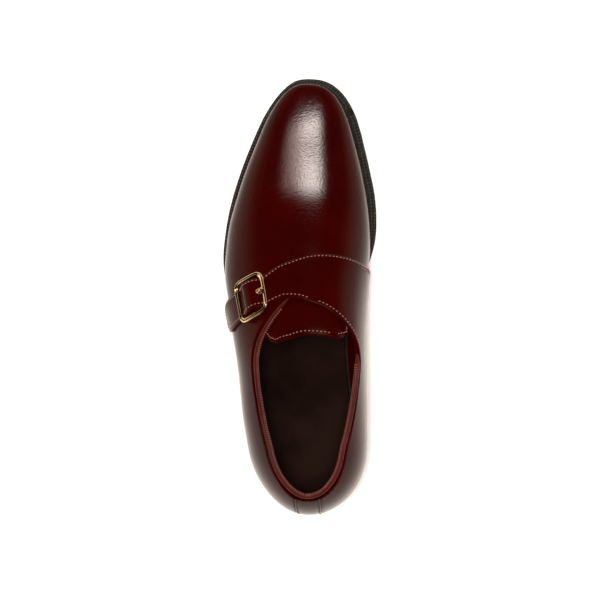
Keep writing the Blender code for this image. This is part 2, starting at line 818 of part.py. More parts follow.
def build_back_strip(material):
    def face(height):
        def position(i, j):
            across = 2.0 * i - 1.0
            side = copysign(1.0, across)
            top = opening_girth(side, HEEL_CENTRE - HEEL_GIRTH)
            girth = top + (BACK_STRIP_LOW - top) * j
            back = HEEL_CENTRE - HEEL_GIRTH
            edge = back_along(girth, BACK_STRIP_HALF)
            return raised(back + (edge - back) * abs(across), side * girth, height)
        return position

    bm = slab(6, 15, face(OVERLAY_GAP), face(OVERLAY_GAP + BACK_STRIP_THICK))
    return piece("back_strip", bm, material)


def build_binding(material):
    """The rolled edge on the opening, from under the strap round the back."""
    steps = 54
    back = HEEL_CENTRE - HEEL_GIRTH
    outer_run = BINDING_OUTER_END - back
    inner_run = BINDING_INNER_END - back
    middle_height = 0.5 * (QUARTER_TOP - UPPER_WALL)
    half_width = 0.5 * (QUARTER_TOP + UPPER_WALL)

    def section(i):
        run = (outer_run + inner_run) * i
        side = -1.0 if run < outer_run else 1.0
        along = back + abs(outer_run - run)
        girth = side * opening_girth(side, along)
        forward, down, normal = directions(along, girth)
        up = (down * -side - normal * normal.dot(down * -side)).normalized()
        rim = raised(along, girth, middle_height)
        left = min(run, outer_run + inner_run - run) / BINDING_TAPER
        size = BINDING_TIP + (1.0 - BINDING_TIP) * sqrt(min(1.0, left))
        rise = 0.5 * BINDING_HEIGHT * size
        return rim + up * (BINDING_GAP + rise), normal * half_width * size, up * rise

    return piece("topline_binding", rod(steps, 8, section), material, 80.0)


def build_tongue(material):
    half = column(TONGUE, TONGUE_COLUMNS, "half")
    top = column(TONGUE_TOP, TONGUE_TOP_COLUMNS, "along")
    front = TONGUE[-1][0]
    depth = UPPER_WALL + 2.0 * CLEARANCE

    def face(height):
        def position(i, j):
            across = 2.0 * j - 1.0
            back = top(across)
            share = back + (front - back) * i ** TONGUE_SPREAD
            return raised(share * LENGTH, TONGUE_SHIFT + across * half(share), height)
        return position

    bm = slab(9, 14, face(-depth - TONGUE_THICK), face(-depth))
    return piece("tongue", bm, material)


def across_buckle(points, radius, back):
    """Section frames along a line of (across, height) points at one distance back."""
    def section(i):
        count = len(points) - 1
        at = min(int(i * count), count - 1)
        rest = i * count - at
        here = [a + (b - a) * rest for a, b in zip(points[at], points[at + 1])]
        middle = on_quarter(here[0], back, here[1])
        ahead = on_quarter(points[at + 1][0], back, points[at + 1][1])
        behind = on_quarter(points[at][0], back, points[at][1])
        line = (ahead - behind).normalized()
        side = on_quarter(here[0], back + radius, here[1]) - middle
        side = (side - line * side.dot(line)).normalized()
        return middle, side * radius, side.cross(line) * radius
    return section


def prong_line(radius):
    """Frames for the prong's straight part, or for the slot that it passes through."""
    points = [(a * BUCKLE_SPAN, h * BUCKLE_SPAN) for a, h in PRONG]
    return across_buckle(points, radius, 0.0)


def loop_points(radius, first, last_angle, steps):
    """Points round the centre bar, as (across, height); angles in degrees."""
    points = []
    for step in range(steps + 1):
        angle = (first + (last_angle - first) * step / steps) * pi / 180.0
        points.append((radius * cos(angle), CENTRE_BAR_RISE + radius * sin(angle)))
    return points


def build_prong(material):
    """The prong: a loop round the centre bar, then out through the strap to the bar."""
    points = loop_points(PRONG_LOOP, -140.0, 90.0, 9)
    points += [(a * BUCKLE_SPAN, h * BUCKLE_SPAN) for a, h in PRONG]
    line = across_buckle(points, 0.5 * PRONG_WIRE, 0.0)

    def section(i):
        middle, first, second = line(i)
        size = 1.0 + PRONG_SWELL * max(0.0, 2.0 * i - 1.0)
        return middle, first * size, second * size

    return piece("buckle_prong", rod(len(points) - 1, 8, section), material, 80.0)


def build_tab(material):
    """The leather loop that holds the centre bar, slotted for the prong."""
    leg = [(reach, CENTRE_BAR_RISE - TAB_LOOP) for reach in (TAB_LEG, 2.0 * PRONG_LOOP)]
    points = leg + loop_points(TAB_LOOP, -90.0, -380.0, 12)
    leg_share = 1.0 / (len(points) - 1)
    columns = [-0.5 * TAB_WIDTH, -0.5 * TAB_SLOT, 0.5 * TAB_SLOT, 0.5 * TAB_WIDTH]
    half = 0.5 * TAB_THICK

    def face(offset):
        def position(i, j):
            back = columns[round(j * 3)]
            middle, _, rise = across_buckle(points, half, back)(i)
            return middle + rise / half * offset
        return position

    def keep(i, j):
        return i < leg_share or abs(j - 0.5) > 0.2

    bm = slab(len(points) - 1, 3, face(-half), face(half), keep=keep)
    return piece("buckle_tab", bm, material, 60.0)


def build_frame(material):
    """Buckle frame, a rounded square of wire that bends with the foot, and its bar."""
    height = CLEARANCE + QUARTER_THICK + CLEARANCE + 0.5 * BUCKLE_WIRE
    half_span = 0.5 * BUCKLE_SPAN
    half_depth = 0.5 * (STRAP_WIDTH + BUCKLE_WIRE) + BUCKLE_SIDE_GAP
    corner_steps = 4
    side_steps = 4
    corners = []
    for quarter, (a, c) in enumerate(((1, 1), (-1, 1), (-1, -1), (1, -1))):
        centre = (a * (half_span - BUCKLE_CORNER), c * (half_depth - BUCKLE_CORNER))
        for step in range(corner_steps + 1):
            angle = (quarter + step / corner_steps) * pi / 2.0
            corners.append((centre[0] + BUCKLE_CORNER * cos(angle),
                            centre[1] + BUCKLE_CORNER * sin(angle)))
    points = []
    for at, (here, there) in enumerate(zip(corners, corners[1:] + corners[:1])):
        parts = side_steps if at % (corner_steps + 1) == corner_steps else 1
        for part in range(parts):
            share = part / parts
            points.append((here[0] + (there[0] - here[0]) * share,
                           here[1] + (there[1] - here[1]) * share))
    count = len(points)

    def section(i):
        at = round(i * count) % count
        before, here, after = points[at - 1], points[at], points[(at + 1) % count]
        line = (on_quarter(*after, height) - on_quarter(*before, height)).normalized()
        level = directions(*buckle_place(*here))[2]
        side = line.cross(level).normalized()
        radius = 0.5 * BUCKLE_WIRE
        return on_quarter(*here, height), side * radius, side.cross(line) * radius

    frame = piece("buckle_frame", rod(count, 8, section, closed=True), material, 80.0)

    def bar_section(i):
        back = (2.0 * i - 1.0) * half_depth
        middle = on_quarter(0.0, back, CENTRE_BAR_RISE)
        line = (on_quarter(0.0, half_depth, CENTRE_BAR_RISE)
                - on_quarter(0.0, -half_depth, CENTRE_BAR_RISE)).normalized()
        side = line.cross(directions(*buckle_place(0.0, back))[2]).normalized()
        return middle, side * 0.5 * CENTRE_BAR, side.cross(line) * 0.5 * CENTRE_BAR

    bar = piece("centre_bar_guide", rod(6, 8, bar_section), material, 80.0)
    bar.hide_render = True
    bar.display_type = "WIRE"
    join = frame.modifiers.new("centre bar", "BOOLEAN")
    join.operation = "UNION"
    join.solver = "EXACT"
    join.object = bar
    return frame


def clear_scene():
    for thing in list(bpy.data.objects):
        bpy.data.objects.remove(thing)


def main():
    clear_scene()
    burgundy = finish("burgundy calf", (0.060, 0.004, 0.005), 0.25)
    edge_black = finish("black edge dressing", (0.012, 0.010, 0.009), 0.45)
    sole_leather = finish("sole leather", (0.36, 0.22, 0.12), 0.6)
    lining = finish("dark lining", (0.035, 0.018, 0.013), 0.6)
    rubber = finish("black rubber", (0.012, 0.012, 0.012), 0.7)
    brass = finish("polished brass", (0.72, 0.50, 0.22), 0.2, 1.0)

    build_outsole(sole_leather)
    build_welt(edge_black)
    build_heel(edge_black, rubber)
    build_insole(lining)
    build_upper(burgundy)
    build_tongue(burgundy)
    build_outer_quarter(burgundy)
    build_strap(burgundy)
    build_back_strip(burgundy)
    build_binding(burgundy)
    build_frame(brass)
    build_prong(brass)
    build_tab(burgundy)


main()
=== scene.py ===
import math
import bmesh
import bpy
from mathutils import Matrix, Vector
from mathutils.bvhtree import BVHTree
from mathutils.kdtree import KDTree


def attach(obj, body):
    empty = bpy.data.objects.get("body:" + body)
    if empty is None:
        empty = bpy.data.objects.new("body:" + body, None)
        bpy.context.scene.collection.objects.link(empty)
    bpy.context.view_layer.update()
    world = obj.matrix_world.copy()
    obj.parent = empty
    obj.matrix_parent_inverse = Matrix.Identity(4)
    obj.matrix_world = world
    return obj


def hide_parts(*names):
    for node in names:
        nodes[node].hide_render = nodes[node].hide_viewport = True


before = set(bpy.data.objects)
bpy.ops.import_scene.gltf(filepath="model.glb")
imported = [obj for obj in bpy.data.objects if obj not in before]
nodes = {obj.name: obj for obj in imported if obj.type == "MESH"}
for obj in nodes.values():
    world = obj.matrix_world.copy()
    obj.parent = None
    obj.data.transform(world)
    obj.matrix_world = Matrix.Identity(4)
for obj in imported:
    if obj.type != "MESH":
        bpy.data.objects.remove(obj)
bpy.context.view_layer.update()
scene = bpy.context.scene

print("studio")

studio = {
    "cameraPlace": (0.0714, -0.0034, 1.8),
    "lookAt": (0.0, -0.0034, 0.0),
    "lens": 154.3,
    "sensor": 36.0,
    "floorSize": 60.0,
    "floorColour": (0.98, 0.96, 0.92, 1.0),
    "horizonGlow": (1.08, 0.90, 0.70, 1.0),
    "zenithGlow": (0.003, 0.003, 0.003, 1.0),
    "overheadStrength": 3.9,
    "overheadAngle": 17.0,
    "boxColour": (1.0, 0.91, 0.85),
    "sideColour": (1.0, 0.74, 0.68),
    "overheadColour": (1.0, 0.97, 0.94),
}

lamps = {
    "toeUpper": {"place": (0.25, 1.49, 2.0), "size": (0.34, 0.80), "power": 3.4},
    "toeUpperWide": {"place": (0.22, 1.45, 2.0), "size": (0.60, 1.20), "power": 5.6},
    "toeLower": {"place": (0.25, 1.28, 2.0), "size": (0.26, 1.00), "power": 1.7},
    "toeLowerWide": {"place": (0.20, 1.30, 2.0), "size": (0.38, 1.50), "power": 3.8},
    "sideGlow": {"place": (-0.48, 1.20, 2.0), "size": (0.42, 0.90), "power": 1.9},
    "sideGlowWide": {"place": (-0.56, 1.16, 2.0), "size": (0.74, 1.45), "power": 2.7},
}


def turned(place, target, up):
    forward = (Vector(target) - Vector(place)).normalized()
    right = forward.cross(Vector(up)).normalized()
    axes = Matrix((right, right.cross(forward), -forward)).transposed()
    return Matrix.Translation(place) @ axes.to_4x4()


def linked(name, data):
    thing = bpy.data.objects.new(name, data)
    scene.collection.objects.link(thing)
    return thing


cameraData = bpy.data.cameras.new("camera")
cameraData.lens = studio["lens"]
cameraData.sensor_width = studio["sensor"]
cameraData.clip_end = 50.0
camera = linked("camera", cameraData)
camera.matrix_world = turned(studio["cameraPlace"], studio["lookAt"], (0.0, 1.0, 0.0))
scene.camera = camera

for lampName, lamp in lamps.items():
    lampData = bpy.data.lights.new(lampName, "AREA")
    lampData.shape = "ELLIPSE"
    lampData.size = lamp["size"][0]
    lampData.size_y = lamp["size"][1]
    lampData.energy = lamp["power"]
    lampData.color = studio["sideColour" if "side" in lampName else "boxColour"]
    lampThing = linked(lampName, lampData)
    lampThing.matrix_world = turned(lamp["place"], (0.0, 0.02, 0.03), (1.0, 0.0, 0.0))

overheadData = bpy.data.lights.new("overhead", "SUN")
overheadData.energy = studio["overheadStrength"]
overheadData.angle = math.radians(studio["overheadAngle"])
overheadData.color = studio["overheadColour"]
overheadThing = linked("overhead", overheadData)
overheadThing.visible_glossy = False  # lights the floor and the dye, without a glare of its own

scene.view_settings.view_transform = "Standard"
scene.view_settings.look = "None"


class Signal:
    # wraps an output socket, so that shader sums read as plain Python
    def __init__(self, socket):
        self.socket = socket

    def node(self, kind, settings=None, sockets=None, output=0):
        tree = self.socket.id_data
        made = tree.nodes.new(kind)
        for name, value in (settings or {}).items():
            if name == "stops":
                ramp = made.color_ramp
                while len(ramp.elements) < len(value):
                    ramp.elements.new(0.5)
                for element, (position, colour) in zip(ramp.elements, value):
                    element.position = position
                    element.color = colour
            else:
                setattr(made, name, value)
        for name, value in (sockets or {}).items():
            if isinstance(value, Signal):
                tree.links.new(value.socket, made.inputs[name])
            else:
                made.inputs[name].default_value = value
        return Signal(made.outputs[output])

    def maths(self, operation, *values):
        return self.node("ShaderNodeMath", {"operation": operation}, dict(enumerate(values)))

    def __add__(self, other):
        return self.maths("ADD", self, other)

    __radd__ = __add__

    def __sub__(self, other):
        return self.maths("SUBTRACT", self, other)

    def __rsub__(self, other):
        return self.maths("SUBTRACT", other, self)

    def __mul__(self, other):
        return self.maths("MULTIPLY", self, other)

    __rmul__ = __mul__

    def __truediv__(self, other):
        return self.maths("DIVIDE", self, other)

    def smooth(self, low, high):
        # 0 below low, 1 above high, softly between
        settings = {"interpolation_type": "SMOOTHSTEP"}
        return self.node("ShaderNodeMapRange", settings, {0: self, 1: low, 2: high})

    def mix(self, first, second):
        # first where this is 0, second where it is 1
        settings = {"data_type": "RGBA"}
        return self.node("ShaderNodeMix", settings, {0: self, 6: first, 7: second}, 2)

    def noise(self, scale, detail=2.0, roughness=0.5):
        sockets = {"Vector": self, "Scale": scale, "Detail": detail, "Roughness": roughness}
        return self.node("ShaderNodeTexNoise", None, sockets)

    def cells(self, scale):
        return self.node("ShaderNodeTexVoronoi", None, {"Vector": self, "Scale": scale})


worldTree = bpy.data.worlds.new("studioAir")
scene.world = worldTree
worldTree.use_nodes = True
airTree = worldTree.node_tree
airTree.nodes.clear()
lookTo = Signal(airTree.nodes.new("ShaderNodeTexCoord").outputs["Generated"])
height = lookTo.node("ShaderNodeSeparateXYZ", None, {"Vector": lookTo}, "Z")
glow = height.smooth(0.02, 0.32).mix(studio["horizonGlow"], studio["zenithGlow"])
air = glow.node("ShaderNodeBackground", None, {"Color": glow, "Strength": 1.0})
airOut = airTree.nodes.new("ShaderNodeOutputWorld")
airTree.links.new(air.socket, airOut.inputs["Surface"])


def newFinish(name):
    material = bpy.data.materials.new(name)
    material.use_nodes = True
    place = Signal(material.node_tree.nodes.new("ShaderNodeTexCoord").outputs["Object"])
    return material, place


def setShader(material, sockets):
    tree = material.node_tree
    shader = tree.nodes["Principled BSDF"]
    for name, value in sockets.items():
        if isinstance(value, Signal):
            tree.links.new(value.socket, shader.inputs[name])
        else:
            shader.inputs[name].default_value = value
    return material


def bumped(heightSignal, distance, strength=1.0):
    sockets = {"Height": heightSignal, "Distance": distance, "Strength": strength}
    return heightSignal.node("ShaderNodeBump", None, sockets)


floorBuild = bmesh.new()
bmesh.ops.create_grid(floorBuild, x_segments=1, y_segments=1, size=studio["floorSize"] / 2)
floorMesh = bpy.data.meshes.new("floor")
floorBuild.to_mesh(floorMesh)
floorBuild.free()
floor = linked("floor", floorMesh)
floorFinish = newFinish("paleFloor")[0]
setShader(floorFinish, {"Base Color": studio["floorColour"], "Roughness": 0.9,
                        "Specular IOR Level": 0.0})
floorMesh.materials.append(floorFinish)

print("finishes")


calfScales = {"clouds": 26.0, "pores": 1150.0, "fine": 1500.0, "middle": 800.0, "broad": 330.0}


def calf(name, look):
    # calf with soft clouds of dye, pores and grain, and wax where the look has polish
    material, place = newFinish(name)
    clouds = place.noise(calfScales["clouds"], 3.0, 0.55)
    pores = place.cells(calfScales["pores"])
    fine = place.noise(calfScales["fine"], 2.0, 0.6)
    middle = place.noise(calfScales["middle"], 2.0, 0.5)
    broad = place.noise(calfScales["broad"], 2.0, 0.5)
    colour = clouds.smooth(0.32, 0.70).mix(look["dark"], look["light"])
    grain = pores * 0.3 + fine * 0.3 + middle + broad * 0.5
    rough = clouds * 0.05 + look["roughness"]
    sockets = {"Base Color": colour, "Roughness": rough, "Specular IOR Level": look["shine"],
               "Specular Tint": look["shineTint"],
               "Sheen Weight": look["sheen"], "Sheen Roughness": 0.35, "Sheen Tint": look["sheenTint"],
               "Normal": bumped(grain, look["grain"])}
    setShader(material, sockets)
    if look["polish"]:
        # the wax stands thickest where the shoe faces up, and gives a deeper shine there
        polished = dict(sockets, IOR=look["polish"])
        polished["Specular IOR Level"] = 0.5
        polished["Specular Tint"] = (1.0, 1.0, 1.0, 1.0)
        shinier = colour.node("ShaderNodeBsdfPrincipled", None, polished)
        tree = material.node_tree
        plain = Signal(tree.nodes["Principled BSDF"].outputs["BSDF"])
        buff = place.node("ShaderNodeAttribute", {"attribute_name": "buff"}, None, "Fac")
        both = buff.node("ShaderNodeMixShader", None, {0: buff, 1: plain, 2: shinier})
        tree.links.new(both.socket, tree.nodes["Material Output"].inputs["Surface"])
    return material


upperLook = {
    "dark": (0.021, 0.0003, 0.0003, 1.0),
    "light": (0.029, 0.0004, 0.0004, 1.0),
    "roughness": 0.13,
    "shine": 0.06,
    "shineTint": (1.0, 0.78, 0.56, 1.0),
    "polish": 1.8,
    "sheen": 0.04,
    "sheenTint": (1.0, 0.45, 0.22, 1.0),
    "grain": 0.00009,
}

# the lining's own dark brown, set as dark as the shade inside the shoe: partly painted shade
liningLook = {
    "dark": (0.006, 0.0026, 0.0018, 1.0),
    "light": (0.012, 0.0055, 0.0040, 1.0),
    "roughness": 0.60,
    "shine": 0.04,
    "shineTint": (1.0, 1.0, 1.0, 1.0),
    "polish": 0.0,
    "sheen": 0.0,
    "sheenTint": (1.0, 1.0, 1.0, 1.0),
    "grain": 0.00008,
}

bindingLook = {
    "dark": (0.040, 0.0044, 0.0034, 1.0),
    "light": (0.068, 0.0088, 0.0066, 1.0),
    "roughness": 0.36,
    "shine": 0.3,
    "shineTint": (1.0, 0.85, 0.75, 1.0),
    "polish": 0.0,
    "sheen": 0.1,
    "sheenTint": (1.0, 0.7, 0.6, 1.0),
    "grain": 0.00006,
}

burgundyCalf = calf("burgundyCalf", upperLook)
dullCalf = calf("tongueCalf", dict(upperLook, polish=0.0))
liningCalf = calf("darkLiningAndShade", liningLook)
bindingCalf = calf("bindingCalf", bindingLook)
edgeCalf = calf("cutEdge", dict(bindingLook, shine=0.08, dark=(0.020, 0.0020, 0.0018, 1.0)))


def threadFinish(name, colour):
    material, place = newFinish(name)
    twist = place.noise(2600.0, 2.0, 0.6)
    shade = twist.smooth(0.3, 0.7).mix([c * 0.6 for c in colour] + [1.0], list(colour) + [1.0])
    setShader(material, {"Base Color": shade, "Roughness": 0.45})
    return material


paleThread = threadFinish("roseThread", (0.36, 0.155, 0.130))
bindingThread = threadFinish("bindingThread", (0.34, 0.125, 0.105))
darkThread = threadFinish("darkThread", (0.030, 0.005, 0.004))
weltThread = threadFinish("waxedThread", (0.060, 0.055, 0.048))


def blackEdge(name, look):
    material, place = newFinish(name)
    wax = place.noise(240.0, 4.0, 0.6)
    colour = wax.smooth(0.3, 0.7).mix(look["dark"], look["light"])
    setShader(material, {"Base Color": colour, "Roughness": wax * 0.12 + look["roughness"],
                         "Specular IOR Level": look["shine"],
                         "Normal": bumped(wax, look["grain"])})
    return material


edgeLook = {
    "dark": (0.004, 0.0035, 0.003, 1.0),
    "light": (0.012, 0.011, 0.010, 1.0),
    "roughness": 0.30,
    "shine": 0.4,
    "grain": 0.00008,
}

weltLook = {
    "dark": (0.007, 0.006, 0.005, 1.0),
    "light": (0.018, 0.016, 0.014, 1.0),
    "roughness": 0.50,
    "shine": 0.3,
    "grain": 0.00012,
}

soleEdge = blackEdge("blackEdge", edgeLook)
weltFinish = blackEdge("waxedWelt", weltLook)

rubberFinish, rubberPlace = newFinish("blackRubber")
rubberDust = rubberPlace.noise(900.0, 3.0, 0.6)
rubberColour = rubberDust.smooth(0.3, 0.8).mix((0.008, 0.008, 0.008, 1.0), (0.018, 0.018, 0.018, 1.0))
setShader(rubberFinish, {"Base Color": rubberColour, "Roughness": 0.62,
                         "Normal": bumped(rubberDust, 0.00006)})

oakFinish, oakPlace = newFinish("oakSole")
oakFibre = oakPlace.noise(380.0, 4.0, 0.6)
oakCloud = oakPlace.noise(30.0, 3.0, 0.5)
oakShade = (oakFibre * 0.5 + oakCloud * 0.5).smooth(0.3, 0.7)
oakColour = oakShade.mix((0.24, 0.13, 0.06, 1.0), (0.40, 0.25, 0.14, 1.0))
setShader(oakFinish, {"Base Color": oakColour, "Roughness": 0.55, "Normal": bumped(oakFibre, 0.00008)})

brassFinish, brassPlace = newFinish("polishedBrass")
brassWear = brassPlace.noise(700.0, 4.0, 0.65)
brassPolish = brassWear.smooth(0.3, 0.7).mix((0.62, 0.46, 0.23, 1.0), (0.78, 0.60, 0.33, 1.0))
# painted shade: the brass darkens to near black along the groove between the beads
tarnish = brassPlace.node("ShaderNodeAttribute", {"attribute_name": "tarnish"}, None, "Fac")
setShader(brassFinish, {"Base Color": (tarnish * 0.92).mix(brassPolish, (0.030, 0.018, 0.008, 1.0)),
                        "Metallic": 1.0, "Roughness": brassWear * 0.04 + 0.07})


footAxis = {"across": 0.006, "heel": -0.100, "toe": 0.105, "heelHeight": 0.046, "fall": 0.11}


def axisPoint(centre):
    # the middle of the foot level with a point
    along = min(footAxis["toe"], max(footAxis["heel"], centre.y))
    rise = footAxis["heelHeight"] - footAxis["fall"] * (along - footAxis["heel"])
    return Vector((footAxis["across"], along, rise))


def outwards(centre):
    return centre - axisPoint(centre)


def upwards(centre):
    return Vector((0.0, 0.0, 1.0))


def skinGroups(bm, limit):
    # groups of faces with no sharp edge between them, taken in the mesh's own order
    left = dict.fromkeys(bm.faces)
    groups = []
    while left:
        reached = [next(iter(left))]
        del left[reached[0]]
        group = list(reached)
        while reached:
            face = reached.pop()
            for edge in face.edges:
                if len(edge.link_faces) != 2 or edge.calc_face_angle(0.0) > limit:
                    continue
                for other in edge.link_faces:
                    if other in left:
                        del left[other]
                        reached.append(other)
                        group.append(other)
        groups.append(group)
    return groups


def facingShare(group, facing):
    return sum(f.calc_area() * f.normal.dot(facing(f.calc_center_median()).normalized()) for f in group)


def rimLoops(group):
    # closed lines round a group of faces, the longest first: points, each with the way inwards
    inside = set(group)
    edges = dict.fromkeys(e for f in group for e in f.edges if any(o not in inside for o in e.link_faces))

    def inwards(edge):
        face = next(f for f in edge.link_faces if f in inside)
        way = face.normal.cross(edge.verts[1].co - edge.verts[0].co).normalized()
        return way if way.dot(face.calc_center_median() - edge.verts[0].co) > 0.0 else -way

    loops = []
    while edges:
        edge = next(iter(edges))
        del edges[edge]
        first, here = edge.verts
        line = [first.co.copy(), here.co.copy()]
        ways = [inwards(edge)]
        while here is not first:
            following = next((e for e in here.link_edges if e in edges), None)
            if following is None:
                break
            del edges[following]
            here = following.other_vert(here)
            line.append(here.co.copy())
            ways.append(inwards(following))
        before, after = [ways[-1]] + ways, ways + [ways[0]]
        loops.append([(point, (a + b).normalized()) for point, a, b in zip(line, before, after)])
    return sorted(loops, key=lineLength, reverse=True)


def lineLength(line):
    return sum((b[0] - a[0]).length for a, b in zip(line, line[1:]))


def resampled(line, step):
    # points at even steps along a line, each with its way inwards
    points = []
    travelled = 0.0
    wanted = step / 2
    for a, b in zip(line, line[1:]):
        length = (b[0] - a[0]).length
        while wanted <= travelled + length:
            share = (wanted - travelled) / length
            points.append((a[0].lerp(b[0], share), a[1].lerp(b[1], share).normalized()))
            wanted += step
        travelled += length
    return points


rimStep = 0.0005
polishZone = {"uprightFrom": 0.80, "uprightSpan": 0.14, "aheadFrom": 0.060, "aheadSpan": 0.018,
              "least": 0.08}


def refined(nodeName, facing, finishes, levels=2, limit=50.0, crease=0.8):
    # a smooth copy of a node: finishes for its outer skin, its inner skin and its edges
    bm = bmesh.new()
    bm.from_mesh(nodes[nodeName].data)
    bmesh.ops.remove_doubles(bm, verts=bm.verts, dist=1e-6)
    bmesh.ops.join_triangles(bm, faces=bm.faces, angle_face_threshold=math.radians(40),
                             angle_shape_threshold=math.radians(60))
    groups = skinGroups(bm, math.radians(limit))
    outer = max(groups, key=lambda group: facingShare(group, facing))
    inner = min(groups, key=lambda group: facingShare(group, facing))
    for face in bm.faces:
        face.material_index = 2
        face.smooth = True
    for face in outer:
        face.material_index = 0
    for face in bm.faces:
        if face.normal.dot(facing(face.calc_center_median()).normalized()) < -0.5:
            face.material_index = 1
    for face in inner:
        face.material_index = 1
    loops = rimLoops(outer)
    creases = bm.edges.layers.float.new("crease_edge")
    for edge in bm.edges:
        if edge.calc_face_angle(0.0) > math.radians(limit):
            edge[creases] = crease
    mesh = bpy.data.meshes.new(nodeName + "Cage")
    bm.to_mesh(mesh)
    bm.free()
    for attribute in list(mesh.attributes):
        if attribute.name in ("custom_normal", "sharp_edge"):
            mesh.attributes.remove(attribute)
    cage = linked(nodeName + "Cage", mesh)
    if levels:
        rounding = cage.modifiers.new("rounding", "SUBSURF")
        rounding.levels = levels
        rounding.render_levels = levels
    fine = bpy.data.meshes.new_from_object(cage.evaluated_get(bpy.context.evaluated_depsgraph_get()))
    bpy.data.objects.remove(cage)
    bpy.data.meshes.remove(mesh)
    fine.name = nodeName + "Shown"
    fine.materials.clear()
    for finish in finishes:
        fine.materials.append(finish)
    thing = linked(nodeName + "Shown", fine)
    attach(thing, "root")
    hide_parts(nodeName)
    rimPoints = [point for loop in loops for point, way in resampled(loop, rimStep)]
    rim = KDTree(max(1, len(rimPoints)))
    for point in rimPoints:
        rim.insert(point, 0)
    rim.balance()
    buff = fine.attributes.new("buff", "FLOAT", "POINT")
    for vertex, item in zip(fine.vertices, buff.data):
        # most on the toe, where the wax is worked in
        upright = (vertex.normal.z - polishZone["uprightFrom"]) / polishZone["uprightSpan"]
        ahead = (vertex.co.y - polishZone["aheadFrom"]) / polishZone["aheadSpan"]
        ahead = min(1.0, max(0.0, ahead))
        toeShare = ahead * ahead * (3.0 - 2.0 * ahead)
        least = polishZone["least"]
        item.value = min(1.0, max(0.0, upright)) * (least + (1.0 - least) * toeShare)
    return {"thing": thing, "loops": loops, "rim": rim}


def surfaceTree(thing):
    # the outer skin alone, which holds the first finish
    mesh = thing.data
    faces = [list(face.vertices) for face in mesh.polygons if face.material_index == 0]
    return BVHTree.FromPolygons([vertex.co for vertex in mesh.vertices], faces)


def addStitch(bm, spot, normal, tangent, row):
    # one raised stitch, long along the seam
    side = normal.cross(tangent).normalized()
    lead = (side.cross(normal) * math.cos(row["slant"]) + side * math.sin(row["slant"])).normalized()
    axes = Matrix((normal.cross(lead) * row["width"] / 2, normal * row["height"],
                   lead * row["pitch"] * row["share"] / 2)).transposed().to_4x4()
    place = Matrix.Translation(spot + normal * row["height"] * row["lift"]) @ axes
    bmesh.ops.create_uvsphere(bm, u_segments=6, v_segments=5, radius=1.0, matrix=place)


def threadPiece(name, bm, finish):
    for face in bm.faces:
        face.smooth = True
    bmesh.ops.recalc_face_normals(bm, faces=bm.faces)
    mesh = bpy.data.meshes.new(name)
    bm.to_mesh(mesh)
    bm.free()
    mesh.materials.append(finish)
    thing = linked(name, mesh)
    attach(thing, "root")
    return thing


def stitchRow(name, piece, row, finish, wanted):
    # rows of stitches inside a piece's rim, where wanted(point, way inwards) is true
    tree = surfaceTree(piece["thing"])
    bm = bmesh.new()
    made = 0
    for inset in row["insets"]:
        points = resampled(piece["loops"][0], row["pitch"])
        for before, here, after in zip(points, points[1:], points[2:]):
            if not wanted(*here):
                continue
            aim = here[0] + here[1] * inset
            spot, normal = tree.find_nearest(aim)[:2]
            if (spot - aim).length > row["reach"] or piece["rim"].find(spot)[2] < inset * 0.5:
                continue
            addStitch(bm, spot, normal, (after[0] - before[0]).normalized(), row)
            made += 1
    print(name, made)
    return threadPiece(name, bm, finish)


print("upper")
leatherSet = [burgundyCalf, liningCalf, edgeCalf]
refined("upper", outwards, leatherSet)
tongue = refined("tongue", upwards, [dullCalf, liningCalf, edgeCalf])
monkStrap = refined("monk_strap", outwards, leatherSet)
outerQuarter = refined("outer_quarter", outwards, leatherSet)
backStrip = refined("back_strip", outwards, leatherSet)
binding = refined("topline_binding", outwards, [bindingCalf] * 3, limit=80.0)

print("stitches")
seamRow = {
    "pitch": 0.0026,
    "insets": [0.0024],
    "share": 0.60,
    "width": 0.00070,
    "height": 0.00040,
    "lift": 0.30,
    "slant": 0.10,
    "reach": 0.0012,  # how far the leather may lie from the aim
}
closeRow = dict(seamRow, insets=[0.0014], pitch=0.0022)
doubleRow = dict(seamRow, insets=[0.0015, 0.0031], pitch=0.0022)
frontRow = dict(seamRow, insets=[0.0015])
tongueRow = dict(seamRow, insets=[0.0028])

seamEnds = {
    "innerSide": 0.042,
    "aboveWelt": 0.031,
    "frontEdgeTop": 0.055,
    "strapBack": -0.034,
    "quarterTop": 0.066,
    "quarterBack": -0.020,
    "tongueBack": -0.018,
    "backStripFoot": 0.030,
}


def isInnerFront(point):
    # the strap piece's front edge, down the inner side of the foot
    return point.x > seamEnds["innerSide"] and point.z < seamEnds["frontEdgeTop"]


def onFrontEdge(point, way):
    return isInnerFront(point) and point.z > seamEnds["aboveWelt"] and point.y > 0.0


def onStrapFront(point, way):
    return point.y > seamEnds["strapBack"] and way.y < 0.0 and not isInnerFront(point)


def onStrapBack(point, way):
    return point.y > seamEnds["strapBack"] and way.y >= 0.0 and not isInnerFront(point)


def onQuarter(point, way):
    return seamEnds["aboveWelt"] < point.z < seamEnds["quarterTop"] and point.y > seamEnds["quarterBack"]


def onTongue(point, way):
    return point.y < seamEnds["tongueBack"]


def onBackStrip(point, way):
    return point.z > seamEnds["backStripFoot"]


def everywhere(point, way):
    return True


stitchRow("strapFrontStitches", monkStrap, frontRow, paleThread, onStrapFront)
stitchRow("strapBackStitches", monkStrap, seamRow, paleThread, onStrapBack)
stitchRow("seamStitches", monkStrap, doubleRow, paleThread, onFrontEdge)
stitchRow("quarterStitches", outerQuarter, seamRow, bindingThread, onQuarter)
stitchRow("tongueStitches", tongue, tongueRow, paleThread, onTongue)
stitchRow("backStitches", backStrip, closeRow, darkThread, onBackStrip)

